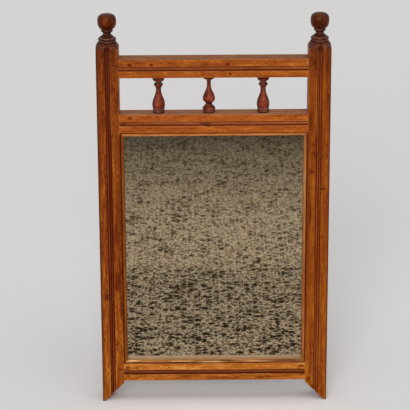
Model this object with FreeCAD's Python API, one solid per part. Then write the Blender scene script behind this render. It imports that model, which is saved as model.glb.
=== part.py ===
"""Framed wall mirror: two turned-topped posts, three rails, a spindle gallery and a plate of mirror glass.

Millimetres, +Z up, the glass faces -Y. The origin is on the floor line of the two foot toes, half way
between the posts and half way through their depth.
"""
import FreeCAD, Part
import math
import os

from FreeCAD import Vector

# Mirror plate, and the room left round it in the frame
plate_width = 381.0
plate_height = 508.0
plate_thickness = 4.0
plate_seam = 0.5
plate_side_room = 1.5
plate_top_room = 4.0

# Sawn and planed stock
post_size = 46.0
rail_height = 38.0
rail_depth = 40.0
arris = 0.8

# Heights
gallery_height = 78.0
foot_drop = 5.0
foot_toe = 4.0
foot_angle = 45.0
head_height = 31.0

# Turned shoulder at the head of each post
shoulder_radius = 20.0
shoulder_waist_radius = 22.6
shoulder_waist_fall = 5.0
shoulder_bulge = 0.5
shoulder_fall = 10.5

# Double reed sunk in the face of the posts
reed_width = 3.8
reed_count = 2
reed_quirk = 1.0
reed_depth = 2.3

# Single bead sunk in the face of the rails
bead_width = 5.2
bead_count = 1
bead_quirk = 2.4
bead_depth = 3.0

# Mortise and tenon joints of the rails
tenon_thickness = 12.0
tenon_height = 26.0
tenon_length = 28.0
tenon_room = 0.1
mortise_end_room = 2.0

# Finials, from the seat upwards
finial_spigot_radius = 7.0
finial_spigot_length = 28.0
finial_ring_radius = 18.7
finial_ring_height = 4.0
finial_groove_radius = 16.8
finial_groove_height = 1.8
finial_disc_radius = 18.5
finial_disc_height = 4.6
finial_edge_round = 1.6
finial_fillet_radius = 16.2
finial_fillet_height = 0.6
finial_neck_radius = 7.4
finial_neck_height = 8.0
finial_neck_sink = 0.6
finial_collar_rise = 4.0
finial_collar_radius = 12.2
finial_collar_edge = 10.4
finial_collar_height = 4.2

# Ball of the finial: nearly round below its widest line and squarer above it
ball_radius = 19.0
ball_foot_radius = 10.8
ball_foot_drop = 16.4
ball_top_rise = 16.4
ball_low_power = 2.2
ball_high_power = 3.0
ball_low_steps = 4
ball_high_steps = 6

# Spindles: how far each stands off an even spacing, then pegs and foot discs
spindle_drifts = (-16.2, -9.6, 5.0)
spindle_peg_radius = 4.5
spindle_peg_length = 14.0
spindle_peg_room = 0.1
spindle_foot_radius = 12.0
spindle_foot_height = 5.0
spindle_foot_round = 1.2

# Outer pattern: a ring under a low pear, with a collar and a thick cap above it
pear_groove_radius = 9.8
pear_groove_height = 1.2
pear_ring_radius = 12.0
pear_ring_edge = 10.9
pear_ring_height = 3.0
pear_seat_radius = 12.1
pear_seat_rise = 0.9
pear_belly_radius = 13.1
pear_belly_height = 16.8
pear_neck_radius = 5.3
pear_neck_drop = 28.8
pear_cove_radius = 6.0
pear_cove_drop = 24.4
pear_collar_low_radius = 7.9
pear_collar_low_drop = 21.2
pear_collar_radius = 9.3
pear_collar_drop = 18.4
pear_collar_high_radius = 8.1
pear_collar_high_drop = 15.6
pear_throat_radius = 5.8
pear_throat_low_drop = 14.8
pear_throat_high_drop = 12.4
pear_cap_under_radius = 8.2
pear_cap_under_drop = 11.2
pear_cap_round_radius = 10.4
pear_cap_round_drop = 10.1
pear_cap_edge_radius = 11.6
pear_cap_edge_drop = 8.4
pear_cap_radius = 12.2
pear_cap_height = 7.0

# Centre pattern: a ring under a higher pear that runs up to a thin neck
vase_ring_radius = 13.2
vase_ring_edge = 12.2
vase_ring_height = 5.2
vase_seat_radius = 10.4
vase_seat_height = 1.4
vase_foot_radius = 7.6
vase_foot_height = 16.2
vase_waist_radius = 6.7
vase_waist_height = 18.0
vase_belly_radius = 12.5
vase_belly_height = 28.6
vase_neck_radius = 4.2
vase_neck_drop = 20.0
vase_throat_radius = 3.9
vase_throat_drop = 14.2
vase_trumpet_radius = 5.7
vase_trumpet_drop = 9.2
vase_mouth_radius = 10.0
vase_mouth_drop = 6.5
vase_cap_radius = 11.0
vase_cap_height = 6.0

# Sight slips round the glass
slip_width = 8.0
slip_depth = 13.0
slip_set_back = 2.2
slip_quirk = 2.2
slip_round = 3.0

# Fillets that hold the glass, and the back boards nailed to them
fillet_size = 10.0
board_thickness = 6.0
board_count = 3
board_gap = 1.0
board_edge_room = 1.0

# Brads
brad_shank_radius = 0.8
brad_head_radius = 2.0
brad_head_thickness = 0.7
brad_bite = 7.0
brad_room = 0.05
brad_inset = 28.0
side_brad_count = 3

# Ring hangers on the back of the top rail
hanger_inset = 42.0
hanger_axis_drop = 9.5
strap_width = 10.0
strap_thickness = 1.2
strap_tail = 24.5
hanger_screw_drop = 18.5
ring_wire_radius = 1.25
ring_play = 0.3
ring_half_width = 9.25
ring_corner_radius = 3.0
screw_shank_radius = 1.9
screw_length = 18.0
screw_head_radius = 3.6
screw_head_height = 1.9
screw_head_edge = 0.5
screw_room = 0.1
screw_slot_width = 0.9
screw_slot_depth = 0.8

# Directions
along_x = Vector(1, 0, 0)
along_y = Vector(0, 1, 0)
along_z = Vector(0, 0, 1)

# Places that follow from the sizes above
opening_width = plate_width + 2 * plate_side_room
opening_height = plate_height + plate_top_room
inner_face = opening_width / 2
post_centre = inner_face + post_size / 2
front = -post_size / 2
rail_back = front + rail_depth
rail_middle = front + rail_depth / 2

foot_cut = (post_size - foot_toe) * math.tan(math.radians(foot_angle))
bottom_rail_low = foot_drop + foot_cut
opening_low = bottom_rail_low + rail_height
opening_high = opening_low + opening_height
gallery_low = opening_high + rail_height
gallery_high = gallery_low + gallery_height
top_rail_high = gallery_high + rail_height
post_top = top_rail_high + head_height

slip_front = front + slip_set_back
glass_front = slip_front + slip_depth
glass_back = glass_front + plate_thickness
fillet_back = glass_back + fillet_size
board_back = fillet_back + board_thickness

hanger_knuckle_radius = ring_wire_radius + ring_play + strap_thickness
hanger_axis_y = rail_back + hanger_knuckle_radius
hanger_axis_z = top_rail_high - hanger_axis_drop
hanger_screw_z = hanger_axis_z - hanger_screw_drop
strap_face = rail_back + strap_thickness

cut_margin = 1.0


def box(size, low):
    """Box of the given sizes with its lowest corner at low."""
    return Part.makeBox(size[0], size[1], size[2], Vector(*low))


def rod(radius, length, foot, direction):
    """Round bar from foot along direction."""
    return Part.makeCylinder(radius, length, foot, direction)


def edges_along(solid, direction):
    """Straight edges of a plain block that run along one direction."""
    found = []
    for edge in solid.Edges:
        run = edge.Vertexes[1].Point - edge.Vertexes[0].Point
        if abs(run.normalize().dot(direction)) > 0.999:
            found.append(edge)
    return found


def stock(size, low, grain):
    """Planed timber with its long arrises eased."""
    block = box(size, low)
    return block.makeFillet(arris, edges_along(block, grain))


def turned(start, steps):
    """Piece turned about Z: (radius, height) points joined by lines, arcs, upright curves or a ball."""
    edges = []
    here = Vector(start[0], 0, start[1])
    for kind, *points in steps:
        path = [here] + [Vector(radius, 0, height) for radius, height in points]
        here = path[-1]
        if kind == "line":
            edges.append(Part.LineSegment(path[0], path[1]).toShape())
        elif kind == "arc":
            edges.append(Part.Arc(path[0], path[1], path[2]).toShape())
        else:
            curve = Part.BSplineCurve()
            leaving, arriving = along_z, along_z
            if kind == "ball":
                leaving, arriving = path[1] - path[0], path[-1] - path[-2]
            curve.interpolate(Points=path, InitialTangent=leaving, FinalTangent=arriving)
            edges.append(curve.toShape())
    edges.append(Part.LineSegment(here, Vector(start[0], 0, start[1])).toShape())
    face = Part.Face(Part.Wire(edges))
    return face.revolve(Vector(0, 0, 0), along_z, 360)


def moulding_cutter(width, count, quirk, depth, length):
    """Waste round a row of sunk beads: the row runs along Z, the face is at y = 0 and the wood at +y."""
    half = (count * width + (count + 1) * quirk) / 2
    radius = width / 2
    edges = []
    here = Vector(-half, -cut_margin, 0)

    def line_to(u, v):
        nonlocal here
        target = Vector(u, v, 0)
        edges.append(Part.LineSegment(here, target).toShape())
        here = target

    line_to(-half, depth)
    for number in range(count):
        left = -half + quirk + number * (width + quirk)
        line_to(left, depth)
        crown = Vector(left + radius, depth - radius, 0)
        target = Vector(left + width, depth, 0)
        edges.append(Part.Arc(here, crown, target).toShape())
        here = target
    line_to(half, depth)
    line_to(half, -cut_margin)
    line_to(-half, -cut_margin)
    return Part.Face(Part.Wire(edges)).extrude(along_z * length)


def left_post():
    """Post with a turned shoulder, a reeded face, mortises for three rails and a slanted foot."""
    low = (-post_centre - post_size / 2, front, 0)
    post = stock((post_size, post_size, post_top), low, along_z)

    corner_radius = post_size / math.sqrt(2)
    corner_height = post_top - shoulder_fall
    waist_height = post_top - shoulder_waist_fall
    round_radius = (shoulder_radius + shoulder_waist_radius) / 2 + shoulder_bulge
    round_height = post_top - shoulder_waist_fall / 2
    head = turned((0, 0), [
        ("line", (corner_radius, 0)),
        ("line", (corner_radius, corner_height)),
        ("line", (shoulder_waist_radius, waist_height)),
        ("arc", (round_radius, round_height), (shoulder_radius, post_top)),
        ("line", (0, post_top)),
    ])
    post = post.common(head.translated(Vector(-post_centre, 0, 0)))

    reeds = moulding_cutter(reed_width, reed_count, reed_quirk, reed_depth, post_top)
    post = post.cut(reeds.translated(Vector(-post_centre, front, 0)))

    toe = Vector(-inner_face - post_size + foot_toe, front - cut_margin, 0)
    heel = Vector(-inner_face, front - cut_margin, foot_cut)
    overrun = (heel - toe) * (cut_margin / foot_cut)
    corners = [toe - overrun, heel + overrun, Vector(heel.x + overrun.x, heel.y, -overrun.z), toe - overrun]
    waste = Part.Face(Part.makePolygon(corners)).extrude(along_y * (post_size + 2 * cut_margin))
    post = post.cut(waste)

    for rail_low in (bottom_rail_low, opening_high, gallery_high):
        mortise_size = (
            tenon_length + mortise_end_room,
            tenon_thickness + 2 * tenon_room,
            tenon_height + 2 * tenon_room,
        )
        mortise_low = (
            -inner_face - tenon_length - mortise_end_room,
            rail_middle - tenon_thickness / 2 - tenon_room,
            rail_low + (rail_height - tenon_height) / 2 - tenon_room,
        )
        post = post.cut(box(mortise_size, mortise_low))

    bore_depth = finial_spigot_length + mortise_end_room
    bore_foot = Vector(-post_centre, 0, post_top - bore_depth)
    return post.cut(rod(finial_spigot_radius + tenon_room, bore_depth, bore_foot, along_z))


def mirrored(solid):
    """The same piece for the other side."""
    return solid.mirror(Vector(0, 0, 0), along_x)


def ball_points(centre):
    """Points up the side of the finial's ball from above its foot to its crown."""
    foot_share = 1 - (ball_foot_radius / ball_radius) ** ball_low_power
    low_reach = ball_foot_drop / foot_share ** (1 / ball_low_power)
    points = []
    for step in range(1, ball_low_steps):
        drop = ball_foot_drop * (1 - step / ball_low_steps)
        share = 1 - (drop / low_reach) ** ball_low_power
        points.append((ball_radius * share ** (1 / ball_low_power), centre - drop))
    points.append((ball_radius, centre))
    for step in range(1, ball_high_steps):
        angle = math.radians(90) * step / ball_high_steps
        radius = ball_radius * math.cos(angle) ** (2 / ball_high_power)
        points.append((radius, centre + ball_top_rise * math.sin(angle) ** (2 / ball_high_power)))
    points.append((0, centre + ball_top_rise))
    return points


def finial():
    """Ball finial with its spigot, seated at z = 0."""
    groove_low = finial_ring_height
    disc_low = groove_low + finial_groove_height
    disc_high = disc_low + finial_disc_height
    neck_low = disc_high + finial_fillet_height
    neck_high = neck_low + finial_neck_height
    collar_low = neck_high + finial_collar_rise
    collar_high = collar_low + finial_collar_height
    ball_centre = collar_high + ball_foot_drop
    ring_edge = finial_ring_radius - finial_edge_round
    disc_edge = finial_disc_radius - finial_edge_round
    hollow_radius = (finial_neck_radius + finial_fillet_radius) / 2 - finial_neck_sink
    hollow_height = neck_low + finial_neck_height / 2
    return turned((0, -finial_spigot_length), [
        ("line", (finial_spigot_radius, -finial_spigot_length)),
        ("line", (finial_spigot_radius, 0)),
        ("line", (ring_edge, 0)),
        ("arc", (finial_ring_radius, groove_low / 2), (ring_edge, groove_low)),
        ("line", (finial_groove_radius, groove_low)),
        ("line", (finial_groove_radius, disc_low)),
        ("line", (disc_edge, disc_low)),
        ("arc", (finial_disc_radius, (disc_low + disc_high) / 2), (disc_edge, disc_high)),
        ("line", (finial_fillet_radius, disc_high)),
        ("line", (finial_fillet_radius, neck_low)),
        ("arc", (hollow_radius, hollow_height), (finial_neck_radius, neck_high)),
        ("line", (finial_collar_edge, collar_low)),
        ("arc", (finial_collar_radius, (collar_low + collar_high) / 2), (ball_foot_radius, collar_high)),
        ("ball", *ball_points(ball_centre)),
    ])


def spindle(middle_steps, cap_radius, cap_height):
    """Gallery spindle standing on z = 0: peg, foot disc, a turned middle, cap and peg."""
    foot_edge = spindle_foot_radius - spindle_foot_round
    foot_steps = [
        ("line", (spindle_peg_radius, -spindle_peg_length)),
        ("line", (spindle_peg_radius, 0)),
        ("line", (foot_edge, 0)),
        ("arc", (spindle_foot_radius, spindle_foot_height / 2), (foot_edge, spindle_foot_height)),
    ]
    cap_steps = [
        ("line", (cap_radius, gallery_height - cap_height)),
        ("line", (cap_radius, gallery_height)),
        ("line", (spindle_peg_radius, gallery_height)),
        ("line", (spindle_peg_radius, gallery_height + spindle_peg_length)),
        ("line", (0, gallery_height + spindle_peg_length)),
    ]
    return turned((0, -spindle_peg_length), foot_steps + middle_steps + cap_steps)


def pear_spindle():
    """Outer spindle: a groove and a ring over the foot, a low pear, a rounded collar and a thick cap."""
    ring_low = spindle_foot_height + pear_groove_height
    ring_high = ring_low + pear_ring_height
    neck = gallery_height - pear_neck_drop
    cove = gallery_height - pear_cove_drop
    collar_low = gallery_height - pear_collar_low_drop
    collar = gallery_height - pear_collar_drop
    collar_high = gallery_height - pear_collar_high_drop
    throat_low = gallery_height - pear_throat_low_drop
    throat_high = gallery_height - pear_throat_high_drop
    cap_under = gallery_height - pear_cap_under_drop
    cap_round = gallery_height - pear_cap_round_drop
    cap_edge = gallery_height - pear_cap_edge_drop
    return spindle([
        ("line", (pear_groove_radius, spindle_foot_height)),
        ("line", (pear_groove_radius, ring_low)),
        ("line", (pear_ring_edge, ring_low)),
        ("arc", (pear_ring_radius, (ring_low + ring_high) / 2), (pear_ring_edge, ring_high)),
        ("line", (pear_seat_radius, ring_high + pear_seat_rise)),
        ("curve", (pear_belly_radius, pear_belly_height)),
        ("curve", (pear_neck_radius, neck)),
        ("arc", (pear_cove_radius, cove), (pear_collar_low_radius, collar_low)),
        ("arc", (pear_collar_radius, collar), (pear_collar_high_radius, collar_high)),
        ("line", (pear_throat_radius, throat_low)),
        ("line", (pear_throat_radius, throat_high)),
        ("line", (pear_cap_under_radius, cap_under)),
        ("arc", (pear_cap_round_radius, cap_round), (pear_cap_edge_radius, cap_edge)),
    ], pear_cap_radius, pear_cap_height)


def vase_spindle():
    """Centre spindle: a ring on the foot and a higher pear that runs up to a thin neck."""
    ring_low = spindle_foot_height + vase_seat_height
    ring_high = ring_low + vase_ring_height
    neck = gallery_height - vase_neck_drop
    throat = gallery_height - vase_throat_drop
    trumpet = gallery_height - vase_trumpet_drop
    mouth = gallery_height - vase_mouth_drop
    return spindle([
        ("line", (vase_seat_radius, spindle_foot_height)),
        ("line", (vase_seat_radius, ring_low)),
        ("line", (vase_ring_edge, ring_low)),
        ("arc", (vase_ring_radius, (ring_low + ring_high) / 2), (vase_ring_edge, ring_high)),
        ("line", (vase_foot_radius, vase_foot_height)),
        ("line", (vase_waist_radius, vase_waist_height)),
        ("curve", (vase_belly_radius, vase_belly_height)),
        ("curve", (vase_neck_radius, neck)),
        ("line", (vase_throat_radius, throat)),
        ("arc", (vase_trumpet_radius, trumpet), (vase_mouth_radius, mouth)),
    ], vase_cap_radius, vase_cap_height)


def spindle_places():
    """Centres of the spindles along X: evenly spaced in the opening, less the drift of each."""
    step = opening_width / (len(spindle_drifts) + 1)
    return [-inner_face + (number + 1) * step + drift for number, drift in enumerate(spindle_drifts)]


def peg_holes(rail, face_height, direction):
    """Bores that take the spindle pegs, from one face of a rail along direction."""
    depth = spindle_peg_length + mortise_end_room
    for place in spindle_places():
        foot = Vector(place, rail_middle, face_height)
        rail = rail.cut(rod(spindle_peg_radius + spindle_peg_room, depth, foot, direction))
    return rail


def rail(low):
    """Rail between the posts, with a sunk bead along its face and a tenon at each end."""
    block = stock((opening_width, rail_depth, rail_height), (-inner_face, front, low), along_x)
    bead = moulding_cutter(bead_width, bead_count, bead_quirk, bead_depth, opening_width)
    bead.rotate(Vector(0, 0, 0), along_y, 90)
    block = block.cut(bead.translated(Vector(-inner_face, front, low + rail_height / 2)))
    tenon_low = (
        -inner_face - tenon_length,
        rail_middle - tenon_thickness / 2,
        low + (rail_height - tenon_height) / 2,
    )
    through = box((opening_width + 2 * tenon_length, tenon_thickness, tenon_height), tenon_low)
    return block.fuse(through).removeSplitter()


def hanger_places():
    """Centres of the two hangers along X."""
    return (hanger_inset - inner_face, inner_face - hanger_inset)


def top_rail():
    """Top rail with spindle bores below and hanger screw bores behind."""
    made = peg_holes(rail(gallery_high), gallery_high, along_z)
    for place in hanger_places():
        foot = Vector(place, rail_back - screw_length, hanger_screw_z)
        made = made.cut(rod(screw_shank_radius + screw_room, screw_length, foot, along_y))
    return made


def gallery_rail():
    """Rail over the glass, bored on top for the spindles."""
    return peg_holes(rail(opening_high), gallery_low, -along_z)


def sight_slip(length):
    """Mitred slip lying on z = 0 along X, its inner edge up and its face at y = 0."""
    round_start = Vector(0, 0, slip_width - slip_round)
    round_end = Vector(0, slip_round, slip_width)
    round_inset = slip_round * (1 - math.sqrt(0.5))
    nose = Vector(0, round_inset, slip_width - round_inset)
    back_and_face = Part.makePolygon([
        round_end,
        Vector(0, slip_depth, slip_width),
        Vector(0, slip_depth, 0),
        Vector(0, slip_quirk, 0),
        Vector(0, 0, slip_quirk),
        round_start,
    ])
    edges = back_and_face.Edges + [Part.Arc(round_start, nose, round_end).toShape()]
    bar = Part.Face(Part.Wire(edges)).extrude(along_x * length)
    bar.translate(Vector(-length / 2, 0, 0))
    half = length / 2
    reach = slip_width + cut_margin
    outline = [
        Vector(-half, -cut_margin, 0),
        Vector(half, -cut_margin, 0),
        Vector(half - reach, -cut_margin, reach),
        Vector(-half + reach, -cut_margin, reach),
        Vector(-half, -cut_margin, 0),
    ]
    mitre = Part.Face(Part.makePolygon(outline)).extrude(along_y * (slip_depth + 2 * cut_margin))
    return bar.common(mitre)


def slip_at(length, turn, place):
    """Sight slip turned about Y and set in the opening."""
    made = sight_slip(length)
    made.rotate(Vector(0, 0, 0), along_y, turn)
    return made.translated(Vector(place[0], slip_front, place[1]))


def mirror_glass():
    """Plate with seamed edges, resting on the bottom rail behind the slips."""
    plate = box((plate_width, plate_thickness, plate_height), (-plate_width / 2, glass_front, opening_low))
    return plate.makeChamfer(plate_seam, edges_along(plate, along_x) + edges_along(plate, along_z))


def board_edges():
    """Left and right edge of each back board."""
    room = opening_width - 2 * board_edge_room - (board_count - 1) * board_gap
    width = room / board_count
    lefts = [-inner_face + board_edge_room + number * (width + board_gap) for number in range(board_count)]
    return [(left, left + width) for left in lefts]


def brad_places():
    """Brads near both edges of each board, top and bottom, and down the outer edges of the outer boards."""
    top = opening_high - fillet_size / 2
    bottom = opening_low + fillet_size / 2
    places = []
    for left, right in board_edges():
        for x in (left + brad_inset, right - brad_inset):
            places.append((x, top))
            places.append((x, bottom))
    step = (top - bottom) / (side_brad_count + 1)
    for side in (-1, 1):
        for number in range(side_brad_count):
            places.append((side * (inner_face - fillet_size / 2), bottom + (number + 1) * step))
    return places


def drilled(solid):
    """A board or fillet with its brad holes."""
    depth = board_thickness + brad_bite
    for x, z in brad_places():
        foot = Vector(x, board_back - depth, z)
        solid = solid.cut(rod(brad_shank_radius + brad_room, depth, foot, along_y))
    return solid


def glass_fillet(size, low):
    """Fillet behind the edge of the glass, glued to the frame."""
    return drilled(box(size, low))


def back_board(left, right):
    """Thin upright board inside the frame, lying on the fillets."""
    height = opening_height - 2 * board_edge_room
    low = (left, fillet_back, opening_low + board_edge_room)
    return drilled(box((right - left, board_thickness, height), low))


def brad():
    """Brad driven towards -y, its head seated on y = 0."""
    depth = board_thickness + brad_bite
    shank = rod(brad_shank_radius, depth, Vector(0, -depth, 0), along_y)
    head = rod(brad_head_radius, brad_head_thickness, Vector(0, 0, 0), along_y)
    return shank.fuse(head).removeSplitter()


def hanger_strap(place):
    """Strap with a rolled knuckle at the top, a rounded tail and one screw hole."""
    low = (place - strap_width / 2, rail_back, hanger_axis_z - strap_tail + strap_width / 2)
    plate = box((strap_width, strap_thickness, hanger_axis_z - low[2]), low)
    tail_foot = Vector(place, rail_back, low[2])
    tail = rod(strap_width / 2, strap_thickness, tail_foot, along_y)
    knuckle_foot = Vector(place - strap_width / 2, hanger_axis_y, hanger_axis_z)
    knuckle = rod(hanger_knuckle_radius, strap_width, knuckle_foot, along_x)
    strap = plate.fuse([tail, knuckle]).removeSplitter()
    strap = strap.cut(rod(ring_wire_radius + ring_play, strap_width, knuckle_foot, along_x))
    hole_foot = Vector(place, rail_back, hanger_screw_z)
    return strap.cut(rod(screw_shank_radius + screw_room, strap_thickness, hole_foot, along_y))


def hanger_ring(place):
    """D-ring bent from round wire, hanging straight down from its leg in the knuckle."""
    def wire_end(x, z, direction):
        centre = Vector(place + x, hanger_axis_y, hanger_axis_z + z)
        return Part.Face(Part.Wire(Part.makeCircle(ring_wire_radius, centre, direction)))

    leg_half = ring_half_width - ring_corner_radius
    leg = wire_end(-leg_half, 0, along_x).extrude(along_x * 2 * leg_half)
    right_centre = Vector(place + leg_half, hanger_axis_y, hanger_axis_z - ring_corner_radius)
    left_centre = Vector(place - leg_half, hanger_axis_y, hanger_axis_z - ring_corner_radius)
    bow_centre = Vector(place, hanger_axis_y, hanger_axis_z - ring_corner_radius)
    right_corner = wire_end(leg_half, 0, along_x).revolve(right_centre, along_y, 90)
    left_corner = wire_end(-leg_half, 0, along_x).revolve(left_centre, along_y, -90)
    bow = wire_end(ring_half_width, -ring_corner_radius, along_z).revolve(bow_centre, along_y, 180)
    return leg.fuse([right_corner, left_corner, bow]).removeSplitter()


def hanger_screw(place):
    """Round-headed slotted wood screw through the strap into the rail."""
    crown = screw_head_height
    dome = crown - screw_head_edge
    dome_radius = (screw_head_radius ** 2 + dome ** 2) / (2 * dome)
    half_angle = math.asin(screw_head_radius / dome_radius) / 2
    head_middle = (dome_radius * math.sin(half_angle), crown - dome_radius * (1 - math.cos(half_angle)))
    screw = turned((0, -screw_length - strap_thickness), [
        ("line", (screw_shank_radius, -screw_length - strap_thickness)),
        ("line", (screw_shank_radius, 0)),
        ("line", (screw_head_radius, 0)),
        ("line", (screw_head_radius, screw_head_edge)),
        ("arc", head_middle, (0, crown)),
    ])
    slot_low = (-screw_head_radius, -screw_slot_width / 2, crown - screw_slot_depth)
    screw = screw.cut(box((2 * screw_head_radius, screw_slot_width, crown), slot_low))
    screw.rotate(Vector(0, 0, 0), along_x, -90)
    return screw.translated(Vector(place, strap_face, hanger_screw_z))


def build():
    """Every piece of the mirror by the name of its node."""
    post = left_post()
    turned_finial = finial()
    pear = pear_spindle()
    vase = vase_spindle()
    left_place, right_place = hanger_places()
    nodes = {
        "left_post": post,
        "right_post": mirrored(post),
        "left_finial": turned_finial.translated(Vector(-post_centre, 0, post_top)),
        "right_finial": turned_finial.translated(Vector(post_centre, 0, post_top)),
        "top_rail": top_rail(),
        "gallery_rail": gallery_rail(),
        "bottom_rail": rail(bottom_rail_low),
    }
    patterns = (("spindle_left", pear), ("spindle_centre", vase), ("spindle_right", pear))
    for (name, pattern), place in zip(patterns, spindle_places()):
        nodes[name] = pattern.translated(Vector(place, rail_middle, gallery_low))

    opening_middle = (opening_low + opening_high) / 2
    nodes["slip_bottom"] = slip_at(opening_width, 0, (0, opening_low))
    nodes["slip_top"] = slip_at(opening_width, 180, (0, opening_high))
    nodes["slip_left"] = slip_at(opening_height, 90, (-inner_face, opening_middle))
    nodes["slip_right"] = slip_at(opening_height, -90, (inner_face, opening_middle))
    nodes["mirror_glass"] = mirror_glass()

    across = (opening_width, fillet_size, fillet_size)
    upright = (fillet_size, fillet_size, opening_height - 2 * fillet_size)
    nodes["glass_fillet_bottom"] = glass_fillet(across, (-inner_face, glass_back, opening_low))
    nodes["glass_fillet_top"] = glass_fillet(across, (-inner_face, glass_back, opening_high - fillet_size))
    nodes["glass_fillet_left"] = glass_fillet(upright, (-inner_face, glass_back, opening_low + fillet_size))
    right_low = (inner_face - fillet_size, glass_back, opening_low + fillet_size)
    nodes["glass_fillet_right"] = glass_fillet(upright, right_low)

    board_names = ("back_board_left", "back_board_centre", "back_board_right")
    for name, (left, right) in zip(board_names, board_edges()):
        nodes[name] = back_board(left, right)
    brads = [brad().translated(Vector(x, board_back, z)) for x, z in brad_places()]
    nodes["back_board_brads"] = Part.makeCompound(brads)

    nodes["hanger_strap_left"] = hanger_strap(left_place)
    nodes["hanger_strap_right"] = hanger_strap(right_place)
    nodes["hanger_ring_left"] = hanger_ring(left_place)
    nodes["hanger_ring_right"] = hanger_ring(right_place)
    nodes["hanger_screws"] = Part.makeCompound([hanger_screw(place) for place in hanger_places()])
    return nodes


def main():
    os.makedirs("parts", exist_ok=True)
    for name, shape in build().items():
        shape.exportStep("parts/" + name + ".step")
        size = shape.BoundBox
        print(f"{name}: {len(shape.Solids)} solid, valid {shape.isValid()}, {shape.Volume / 1000:.1f} cm3,"
              f" x {size.XMin:.1f} to {size.XMax:.1f}, y {size.YMin:.1f} to {size.YMax:.1f},"
              f" z {size.ZMin:.1f} to {size.ZMax:.1f}")


main()
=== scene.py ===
# %% [markdown]
# # Dressing a framed mirror
#
# The mirror is an old joiner's piece: two reeded posts with turned finials, three moulded rails, a small
# gallery of spindles and one plate of silvered glass behind thin slips. Its shape is finished before this
# lesson starts, because every piece arrives as a solid at its real size. What is left to make here is
# what the eye reads as age and handling: stain, grain, grime in the mouldings, dust on the ledges and a
# plate that really mirrors. Some colours also paint light and shade: dark edges, grooves and ends, and
# pale rims, crests and ledges.

# %% Load the pieces
import math
from types import SimpleNamespace

import bpy
from mathutils import Matrix, Vector


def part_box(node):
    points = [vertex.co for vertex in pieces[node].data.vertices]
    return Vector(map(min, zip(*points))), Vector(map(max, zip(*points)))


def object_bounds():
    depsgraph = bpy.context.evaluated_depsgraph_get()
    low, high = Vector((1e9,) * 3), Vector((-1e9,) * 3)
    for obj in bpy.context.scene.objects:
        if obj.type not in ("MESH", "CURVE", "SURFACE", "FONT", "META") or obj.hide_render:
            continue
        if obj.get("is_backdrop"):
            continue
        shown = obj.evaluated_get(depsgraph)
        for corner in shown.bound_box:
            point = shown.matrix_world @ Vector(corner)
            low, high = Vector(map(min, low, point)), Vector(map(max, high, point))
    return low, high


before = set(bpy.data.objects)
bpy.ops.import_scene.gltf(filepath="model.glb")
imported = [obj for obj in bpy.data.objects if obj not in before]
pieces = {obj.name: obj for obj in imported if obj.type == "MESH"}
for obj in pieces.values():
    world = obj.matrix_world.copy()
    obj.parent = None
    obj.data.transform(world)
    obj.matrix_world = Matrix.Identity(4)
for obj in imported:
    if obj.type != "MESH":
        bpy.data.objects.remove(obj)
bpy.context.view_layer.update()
MM = 0.001

# %% [markdown]
# ## Small tools
#
# Colours are written as sRGB hex values, the way a paint chart gives them, and one function turns them
# into the linear values that a renderer adds up. A material could be drawn by hand in the shader editor,
# but a script is easier to read again and to change. So one function adds a node with its settings and
# links, and all that follows is made with it.

# %% Colour and nodes
def linear(colour):
    """Linear RGBA of an sRGB hex value such as 9C5520."""
    channels = [int(colour[start:start + 2], 16) / 255 for start in (0, 2, 4)]
    return [c / 12.92 if c <= 0.04045 else ((c + 0.055) / 1.055) ** 2.4 for c in channels] + [1.0]


def wire(tree, node, inputs):
    """Sets inputs, in order or by name. A socket is linked, and a node by its first open output."""
    for socket, value in inputs.items() if isinstance(inputs, dict) else enumerate(inputs):
        if isinstance(value, bpy.types.Node):
            value = next(output for output in value.outputs if output.enabled)
        if isinstance(value, bpy.types.NodeSocket):
            tree.links.new(value, node.inputs[socket])
        else:
            node.inputs[socket].default_value = value


def add(tree, kind, inputs=(), stops=(), **settings):
    """Adds one shader node with its settings, its inputs and, for a colour ramp, its stops."""
    node = tree.nodes.new("ShaderNode" + kind)
    for name, value in settings.items():
        setattr(node, name, value)
    wire(tree, node, inputs)
    for number, (position, colour) in enumerate(stops):
        if number == len(node.color_ramp.elements):
            node.color_ramp.elements.new(1.0)
        node.color_ramp.elements[number].position = position
        node.color_ramp.elements[number].color = colour
    return node


print("stain 9C5520 is", [round(value, 3) for value in linear("9C5520")])

# %% [markdown]
# A finish is laid on in coats, as at the bench. Each coat has a stain, a mask that says where it goes and
# a cover that says how much of the wood it hides. Grain has no single colour, so its tones are spread
# over a ramp from dark late wood to pale early wood. Every finish starts from the place on the piece in
# metres, which keeps the size of a pattern true on a long post and a short spindle alike.

# %% Coats and finishes
# Sockets of the colour mix node, which share their names with its other kinds
FACTOR, UNDER, OVER = 0, 6, 7
TONE_RANGE = (0.34, 0.66)


def new_finish(name):
    """A new material with its node tree, its shader and the place on the piece."""
    material = bpy.data.materials.new(name)
    material.use_nodes = True
    tree = material.node_tree
    place = add(tree, "TexCoord").outputs["Object"]
    axes = add(tree, "SeparateXYZ", (place,)).outputs
    shader = tree.nodes["Principled BSDF"]
    return SimpleNamespace(material=material, tree=tree, shader=shader, place=place, axes=axes)


def lay_coat(tree, colour, stain, mask, cover=1.0):
    """A colour with a stain over it where the mask says, as strong as the cover says."""
    over = linear(stain) if isinstance(stain, str) else stain
    depth = add(tree, "Math", (mask, cover), operation="MULTIPLY")
    return add(tree, "Mix", {FACTOR: depth, UNDER: colour, OVER: over}, data_type="RGBA")


def even_stops(tones, low, high):
    """Stops of a colour ramp, with tones at even steps from low to high."""
    step = (high - low) / (len(tones) - 1)
    return [(low + step * number, linear(tone)) for number, tone in enumerate(tones)]


def give_finish(name, material):
    """Gives a piece one material in place of the one it came with."""
    slots = pieces[name].data.materials
    slots.clear()
    slots.append(material)


print("tones lie between", *TONE_RANGE, "of a ramp unless a wood says otherwise")
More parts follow.
